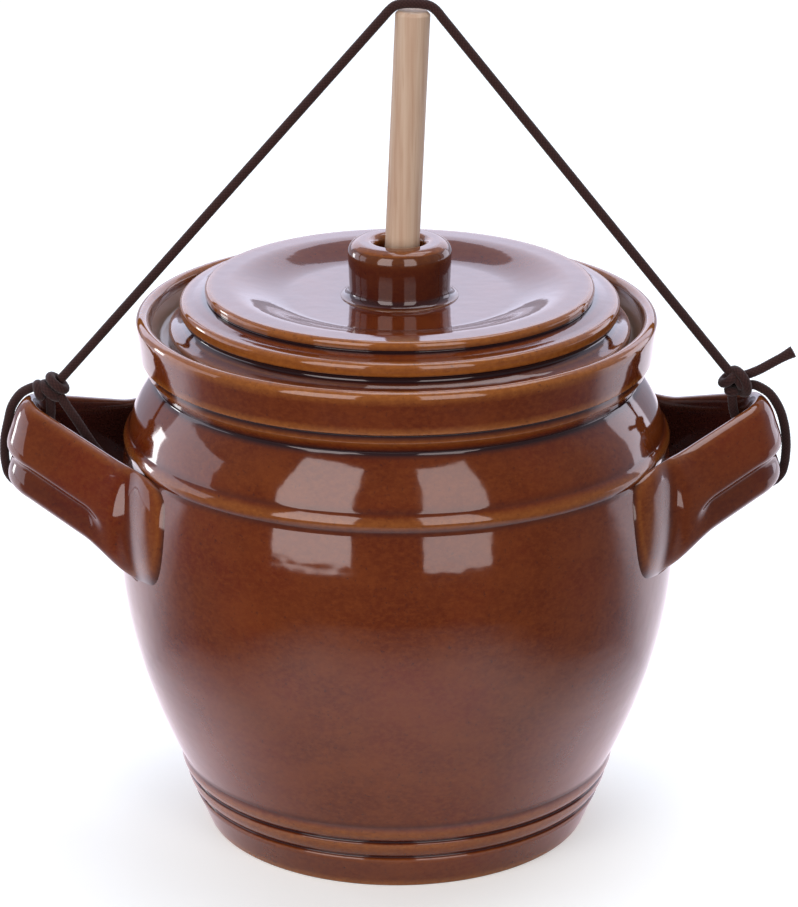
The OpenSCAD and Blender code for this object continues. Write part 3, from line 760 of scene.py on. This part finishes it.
class JAR_OT_lid(bpy.types.Operator):
    """Turns the stepped lid and the collar on it"""
    bl_idname = "jar.lid"
    bl_label = "Lid and collar"

    def execute(self, context):
        jar = settings()
        pot, lid = jar.pot, jar.lid
        seat, skirt, middle, top, dish = lid_levels(pot, lid)
        ceiling = dish - 6.5 * MM
        ring_r = pot.mouth_r - 2 * MM
        ring_in = ring_r - 7 * MM
        ring_z = seat - 8 * MM
        hole = lid.hole_d / 2
        centre = (lid.shift, 0, 0)
        crest = lid.top_r - lid.crest_w
        flange = seat + lid.flange_h
        recess_r = lid.middle_r - lid.recess
        under = dish - 0.4 * MM
        corners = [(hole, under, 0), (hole, ceiling, 1.2 * MM), (ring_in, ceiling, 5 * MM),
                   (ring_in, ring_z, 1.5 * MM), (ring_r, ring_z, 1.2 * MM), (ring_r, seat, 0.8 * MM),
                   (lid.lid_r, seat, 1.0 * MM), (lid.lid_r, flange, 2.2 * MM),
                   (lid.lid_r - 4 * MM, flange + 0.45 * lid.flange_rise, 8 * MM),
                   (recess_r, flange + lid.flange_rise, 1.2 * MM),
                   (recess_r, skirt - 1.8 * MM, 0.8 * MM), (lid.middle_r, skirt - 1.2 * MM, 1.2 * MM),
                   (lid.middle_r, middle - 0.7 * MM, 2.0 * MM), (lid.top_r + 5 * MM, middle - 0.35 * MM, 8 * MM),
                   (lid.top_r - 0.9 * MM, middle + 1.0 * MM, 0.8 * MM), (lid.top_r, middle + 1.4 * MM, 0.8 * MM),
                   (lid.top_r, top, 2.1 * MM)]
        dish_steps = 30
        for t in (1 - k / dish_steps for k in range(dish_steps + 1)):
            corners.append((lid.dish_r + (crest - lid.dish_r) * t, dish + lid.dish_depth * t * t * (3 - 2 * t), 0))
        corners.append((hole, under, 0))

        def step_face(p):
            """The glaze is thin on the upright faces of both steps."""
            return 0.75 * (abs(p.x - lid.top_r) < 0.6 * MM and p.y > middle or
                           abs(p.x - lid.middle_r) < 0.6 * MM and p.y < middle)

        piece = turned("stepped_lid", corners, 1.6 * MM, 228, glaze(), centre, light=step_face)
        finish_piece(piece, "lid", "glaze", "lid")
        collar_top = dish + lid.collar_h
        outer, cove = lid.collar_r, lid.collar_cove
        sunk = dish - 0.6 * MM
        corners = [(hole, sunk, 0), (outer + cove + 0.3 * MM, sunk, 0)]
        corners += [(outer + cove - cove * math.sin(a), dish + 0.15 * MM + cove - cove * math.cos(a), 0)
                    for a in (math.pi / 2 * k / 12 for k in range(13))]
        corners += [(outer + 0.8 * MM, collar_top, 5 * MM), (hole, collar_top, 3 * MM), (hole, sunk, 0)]

        def outer_wall(p):
            """The collar's outer wall is darker."""
            return 0.5 * (p.x > outer - 0.5 * MM)

        piece = turned("lid_collar_ring", corners, 0.9 * MM, 128, glaze(), centre, arc_step=6, dark=outer_wall)
        finish_piece(piece, "lid", "glaze", "lid_collar")
        return {"FINISHED"}


# The rod and the press disc

class JAR_OT_press(bpy.types.Operator):
    """Turns the wooden rod and the disc that it presses down"""
    bl_idname = "jar.press"
    bl_label = "Rod and disc"

    def execute(self, context):
        jar = settings()
        press = jar.press
        dish = lid_levels(jar.pot, jar.lid)[4]
        collar_top = dish + jar.lid.collar_h
        # The rod leans through the collar and crosses its top a little to the right of the middle
        crossing = 2.4 * MM
        foot = Vector((crossing - collar_top * math.tan(press.lean), 0, 0))
        along = Vector((math.sin(press.lean), 0, math.cos(press.lean)))
        tilt = (0, press.lean, 0)
        r, rod_end, bevel = press.rod_d / 2, press.rod_len, 1.2 * MM
        socket_r, socket_z = r + 0.1 * MM, press.disc_t - 10 * MM
        rod = [(0, 0, 0), (r, 0, 0.3 * MM), (r, rod_end - bevel, 0.7 * MM), (r - bevel, rod_end, 0.5 * MM),
               (0, rod_end, 0)]
        disc = [(0, 0, 0), (press.disc_r, 0, 2.2 * MM), (press.disc_r, press.disc_t, 2.2 * MM),
                (socket_r, press.disc_t, 0.5 * MM), (socket_r, socket_z, 0), (0, socket_z, 0)]
        for name, corners, spacing, steps, grain, height, node in (
                ("beech_rod", rod, 4 * MM, 72, ("turned_beech_rod", "Z"), press.disc_rest + socket_z, "push_rod"),
                ("beech_press_disc", disc, 3 * MM, 160, ("turned_beech_disc", "X"), press.disc_rest, "press_disc")):
            beech = beech_material(grain[0], jar.colours, grain[1])
            piece = turned(name, corners, spacing, steps, beech, foot + along * height, tilt)
            finish_piece(piece, "press", "wood", node)
        return {"FINISHED"}


# The cord, along the same points as its solids in millimetres, with more turns in the right knot

SPAN = [*((-106 + 7 * k, 0, 227 + 8 * k) for k in range(15)),
        (-5.1, 0, 342.3), (-3, 0, 344.7), (-0.5, 0, 346.7), (2.9, 0, 347.5), (6.5, 0, 347.6), (9.9, 0, 347.4),
        (13.2, 0, 346.6), (15.8, 0, 344.7), (18, 0, 342), (20, 0, 339.5),
        *((26 + 8 * k, 0, 332 - 10 * k) for k in range(11)), (112, 0, 224.5), (118, 0, 217)]
CORD_PARTS = {
    "left_leg": [*((-106 - 7 * k, 0, 227 - 8 * k) for k in range(4)), (-134.5, 0, 194.5), (-137.6, 0, 191)],
    "right_leg": [(118, 0, 217), (122, 0, 212), (128, 0, 204.5), (134.8, 0, 196), (137, 0, 193.3)],
    "left_loop": [(-143.5, 0, 187.5), (-146.5, 1.3, 187.3), (-150, 3, 186.2), (-154.9, 5, 182.9),
                  (-158.9, 6.8, 176.8), (-160.9, 8, 169.7), (-162.6, 9, 162), (-163.1, 10.2, 155),
                  (-162.9, 11.2, 150.3), (-161.8, 10.8, 145.9), (-158.75, 9.75, 142.7), (-154.6, 8.3, 141.5),
                  (-150.45, 6.85, 142.7), (-147.4, 5.8, 145.9), (-146.3, 5.4, 150.3), (-146.1, 5, 154),
                  (-145.2, 4.4, 159.5), (-143.7, 3.5, 166), (-142.9, 2.4, 172), (-142.3, 1, 178), (-142.4, 0, 184)],
    "right_loop": [(143.2, 0, 188.2), (146.5, 0.6, 188.2), (149.8, 1.5, 186.6), (153.9, 2.4, 183.3),
                   (158, 3.6, 176.5), (160.4, 5, 168.6), (161.5, 6.5, 160.8), (161.6, 8, 154.6), (161.4, 8.7, 151.5),
                   (160.3, 8.35, 147.25), (157.4, 7.4, 144.1), (153.4, 6.1, 143), (149.4, 4.8, 144.1),
                   (146.5, 3.85, 147.25), (145.4, 3.5, 151.5), (144.4, 3.3, 155.5), (143, 2.9, 160.5),
                   (142, 2.2, 166), (140.3, 1.5, 172), (138.5, 0.8, 178), (137.6, 0, 185.5)],
    "left_tail": [(-138.2, -1.4, 184.4), (-135.2, -1.8, 179.4), (-131.8, -2.4, 174.3), (-128.6, -3, 169.2),
                  (-125.4, -3.5, 164.2), (-122.2, -4, 159.2)],
    "right_tail": [(142, 0, 192.2), (145.2, 0, 193.4), (149, 0, 195.1), (153.5, 0, 197.7), (158, 0, 200.3),
                   (162.2, 0, 202.7)],
}
# Each knot's middle, and its wraps: place from the middle, lean of the wrap's axis towards +X and its turn about Z in
# degrees, and radius
KNOTS = {
    "left": ((-140.5, 0, 187.6), [((1.4, 0, 1.6), 41, 0, 3.9), ((-1.5, 0, -1.7), 41, 0, 3.9),
                                  ((-6.2, 0, -1.6), 75, 0, 2.6)]),
    "right": ((139.2, 0, 189.8), [((1.4, -0.4, 0.2), 71, 30, 5.2), ((-3, 0, 1.4), -37, 0, 3.1),
                                  ((-1.6, 0, -4), 8, 0, 1.3), ((1.4, -0.8, 0.4), 60, 0, 2.2)]),
}


def smooth_path(points, spacing=0.5):
    """Points in metres on one smooth curve through points in millimetres."""
    given = [Vector(p) for p in points]
    given = [given[0] * 2 - given[1], *given, given[-1] * 2 - given[-2]]
    path = []
    for a, b, c, d in zip(given, given[1:], given[2:], given[3:]):
        steps = max(2, math.ceil((c - b).length / spacing))
        for t in (k / steps for k in range(steps)):
            path.append(0.5 * (2 * b + (c - a) * t + (2 * a - 5 * b + 4 * c - d) * t ** 2
                               + (3 * b - a - 3 * c + d) * t ** 3) * MM)
    return path + [given[-2] * MM]


def cord_piece(name, path, closed=False):
    """A braided cord along a path in metres."""
    sizes = settings().cord
    mesh = bpy.data.meshes.new(name + "_path")
    edges = [(i, i + 1) for i in range(len(path) - 1)] + ([(len(path) - 1, 0)] if closed else [])
    mesh.from_pydata([tuple(p) for p in path], edges, [])
    return made_with(shared("braid", braid_tree), name, mesh, diameter=sizes.diameter, relief=sizes.relief,
                     strands=sizes.strands, material=shared("cord", lambda: braid_material(settings().colours)))


def wrap_path(middle, place, lean, about, radius, steps=64):
    """Closed path in metres of one wrap of a knot round a leaning axis."""
    turn = Matrix.Rotation(math.radians(about), 3, "Z") @ Matrix.Rotation(math.radians(lean), 3, "Y")
    centre = Vector(middle) + Vector(place)
    return [(centre + turn @ Vector((radius * math.cos(a), radius * math.sin(a), 0))) * MM
            for a in (2 * math.pi * k / steps for k in range(steps))]


def flare_end(piece, path, length=6 * MM, growth=0.3):
    """Spreads a cord's cut end, where the braid has come loose."""
    end = path[-1]
    along = (end - path[-6]).normalized()
    for vertex in piece.data.vertices:
        back = (end - vertex.co).dot(along)
        if back < length and (vertex.co - end).length < 2 * length:
            spoke = vertex.co - (end - along * back)
            vertex.co += spoke * growth * (1 - max(0, back) / length) ** 1.5


class JAR_OT_cord(bpy.types.Operator):
    """Lays the braided cord over the rod and ties it to the handles"""
    bl_idname = "jar.cord"
    bl_label = "Cord"

    def execute(self, context):
        sizes = settings().cord
        parts = []
        for key, points in CORD_PARTS.items():
            side, part = key.split("_")
            path = smooth_path(points)
            piece = finish_piece(cord_piece(f"cord_{part}_{side}", path), "jar", "cord", f"{side}_cord_{part}")
            if part == "tail":
                flare_end(piece, path)
            if part == "loop":
                self.declare(piece, path, sizes)
            else:
                parts.append(piece)
        for side, (middle, wraps) in KNOTS.items():
            turns = [cord_piece(f"cord_knot_{side}", wrap_path(middle, *wrap), closed=True) for wrap in wraps]
            with context.temp_override(active_object=turns[0], selected_editable_objects=turns):
                bpy.ops.object.join()
            parts.append(finish_piece(turns[0], "jar", "cord", f"{side}_cord_knot"))
        path = smooth_path(SPAN)
        span = finish_piece(cord_piece("cord_span_over_rod", path), "jar", "cord", "cord_span")
        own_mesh(span)
        self.declare(span, path, sizes, parts)
        return {"FINISHED"}

    def declare(self, piece, path, sizes, parts=()):
        """Does nothing; the piece, path, sizes and parts are not used."""


# The stage

class JAR_OT_stage(bpy.types.Operator):
    """Sets the floor, the light and the camera"""
    bl_idname = "jar.stage"
    bl_label = "Stage"

    def execute(self, context):
        scene = context.scene
        jar = settings()
        stage = jar.stage
        scene.view_settings.view_transform = "Standard"
        camera = placed("camera", bpy.data.cameras.new("camera"))
        camera.data.sensor_fit = "HORIZONTAL"
        camera.data.sensor_width = 36
        camera.data.lens = stage.lens
        camera.data.clip_end = 50
        aim = Vector((stage.aim_x, 0, stage.aim_z))
        back = Vector((0, -math.cos(stage.elevation), math.sin(stage.elevation)))
        camera.location = aim + back * stage.camera_far
        camera.rotation_euler = (-back).to_track_quat("-Z", "Y").to_euler()
        scene.camera = camera
        self.floor(jar.colours)
        self.world(scene)
        self.lamps()
        return {"FINISHED"}

    def floor(self, colours):
        """A pale table top that looks white to the camera and keeps the jar's shadow.

        The jar's glaze sees only the lit part of it, behind the jar and close in front of it, with a lilac glow beside
        the jar."""
        mesh = bpy.data.meshes.new("studio_floor")
        reach, edge = 2.5, -0.6
        mesh.from_pydata([(-reach, edge, 0), (reach, edge, 0), (reach, reach, 0), (-reach, reach, 0)], [], [(0, 1, 2, 3)])
        material, tree, where = new_material("pale_studio_floor")
        place = add_node(tree, "ShaderNodeSeparateXYZ", {0: where}).outputs
        across, along = calc(tree, "ABSOLUTE", place["X"]), place["Y"]
        # Shares that grow from the first way to the second, in metres from the jar's middle
        front, near, behind, far, sides, end, aside, beside = (
            spread(tree, way, start, full, kind="SMOOTHSTEP") for way, start, full in (
                (along, -0.45, -0.2), (across, 0.28, 0.12), (along, -0.02, 0.14), (along, 1.1, 0.6),
                (across, 1.1, 0.7), (along, 1.85, 1.6), (across, 0.03, 0.13), (along, -0.14, -0.02)))
        mirrored = calc(tree, "MAXIMUM", calc(tree, "MULTIPLY", front, near), calc(tree, "MULTIPLY", behind, far))
        table = calc(tree, "MULTIPLY", calc(tree, "MULTIPLY", front, sides), end)
        glow_seen, glow_mirrored, lilac = 0.34, 0.8, (1, 0.78, 0.92, 1)
        glow_beside = calc(tree, "MULTIPLY", calc(tree, "MULTIPLY", aside, beside), glow_mirrored)
        camera = add_node(tree, "ShaderNodeLightPath").outputs["Is Camera Ray"]
        kept = blend(tree, camera, mirrored, table, "FLOAT")
        matt = add_node(tree, "ShaderNodeBsdfDiffuse", {"Color": colours.floor})
        glow = add_node(tree, "ShaderNodeEmission", {
            "Color": blend(tree, camera, lilac, WHITE), "Strength": blend(tree, camera, glow_beside, glow_seen, "FLOAT")})
        both = add_node(tree, "ShaderNodeAddShader", {0: matt.outputs[0], 1: glow.outputs[0]})
        clear = add_node(tree, "ShaderNodeBsdfTransparent")
        faded = add_node(tree, "ShaderNodeMixShader", {0: kept, 1: clear.outputs[0], 2: both.outputs[0]})
        add_node(tree, "ShaderNodeOutputMaterial", {0: faded.outputs[0]})
        mesh.materials.append(material)
        placed("studio_floor", mesh)

    def world(self, scene):
        """A dim room, paler behind the jar and bluish high up there. The camera sees white."""
        scene.world = bpy.data.worlds.new("studio_room")
        scene.world.use_nodes = True
        tree = scene.world.node_tree
        tree.nodes.clear()
        where = add_node(tree, "ShaderNodeTexCoord").outputs["Generated"]
        facing = add_node(tree, "ShaderNodeSeparateXYZ", {0: where}).outputs
        walls = add_node(tree, "ShaderNodeValToRGB", {"Fac": spread(tree, facing["Y"], -1.0)})
        walls.color_ramp.elements.new(0.5)
        for stop, place, colour in zip(walls.color_ramp.elements, (0.25, 0.5, 0.8), (
                (0.12, 0.115, 0.12, 1), (0.22, 0.21, 0.23, 1), (0.62, 0.64, 0.8, 1))):
            stop.position = place
            stop.color = colour
        high = calc(tree, "MULTIPLY", spread(tree, facing["Y"], -0.1, 0.35, kind="SMOOTHSTEP"),
                    spread(tree, facing["Z"], 0.78, 0.93, kind="SMOOTHSTEP"))
        room = blend(tree, high, walls.outputs["Color"], (0.75, 0.84, 1.1, 1))
        camera = add_node(tree, "ShaderNodeLightPath").outputs["Is Camera Ray"]
        light = add_node(tree, "ShaderNodeBackground", {"Color": blend(tree, camera, room, WHITE), "Strength": 1.0})
        add_node(tree, "ShaderNodeOutputWorld", {0: light.outputs[0]})

    def lamps(self):
        """Two tall soft boxes in front, a lit wall behind, a ceiling panel, and panels and a strip at the sides."""
        white, rose, pink, lilac, blue = (1, 1, 1), (1, 0.94, 0.98), (1, 0.87, 0.86), (0.92, 0.88, 1), (0.78, 0.8, 1)
        for name, place, size, level, colour in (
                ("left_box", (-0.95, -1.45, 0.98), (1.0, 2.2), 4.0, pink),
                ("right_box", (0.68, -1.55, 0.98), (0.8, 2.2), 3.3, pink),
                ("left_strip", (-1.56, 0.9, 0.2), (0.26, 0.6), 9.0, white),
                ("left_panel", (-1.65, 0.3, 0.5), (1.2, 0.9), 1.6, lilac),
                ("right_panel", (1.39, 0.98, 0.42), (0.7, 0.9), 2.2, lilac),
                ("back_wall", (0.0, 1.9, 1.04), (3.2, 1.14), 1.9, blue),
                ("ceiling", (0.4, 0.4, 1.9), (1.3, 1.3), 2.8, rose)):
            data = bpy.data.lights.new(name, "AREA")
            data.shape = "RECTANGLE"
            data.size, data.size_y = size
            data.color = colour
            data.energy = level * math.pi * size[0] * size[1]
            lamp = placed(name, data)
            lamp.location = place
            aim = Vector((0, 0, -1)) if name == "ceiling" else Vector((-place[0], -place[1], 0))
            lamp.rotation_euler = aim.to_track_quat("-Z", "Y").to_euler()
            lamp.visible_camera = False


class JAR_PT_panel(bpy.types.Panel):
    """Lists the jar's operators and settings"""
    bl_label = "Fermentation jar"
    bl_idname = "JAR_PT_panel"
    bl_space_type = "VIEW_3D"
    bl_region_type = "UI"
    bl_category = "Jar"

    def draw(self, context):
        jar = context.scene.fermentation_jar
        for operator in OPERATORS:
            self.layout.operator(operator.bl_idname)
        for group in ("pot", "handles", "lid", "press", "cord", "colours", "stage"):
            box = self.layout.box()
            box.label(text=group.capitalize())
            part = getattr(jar, group)
            for key in part.__annotations__:
                box.prop(part, key)


OPERATORS = (JAR_OT_stage, JAR_OT_cord, JAR_OT_pot, JAR_OT_handles, JAR_OT_lid, JAR_OT_press)
CLASSES = (PotSizes, HandleSizes, LidSizes, PressSizes, CordSizes, JarColours, StageSettings, JarSettings,
           *OPERATORS, JAR_PT_panel)


def register():
    for cls in CLASSES:
        bpy.utils.register_class(cls)
    bpy.types.Scene.fermentation_jar = bpy.props.PointerProperty(type=JarSettings)


def unregister():
    del bpy.types.Scene.fermentation_jar
    for cls in reversed(CLASSES):
        bpy.utils.unregister_class(cls)


def main():
    register()
    bpy.ops.jar.stage()
    bpy.ops.jar.cord()
    bpy.ops.jar.pot()
    bpy.ops.jar.handles()
    bpy.ops.jar.lid()
    bpy.ops.jar.press()


if __name__ == "__main__":
    main()
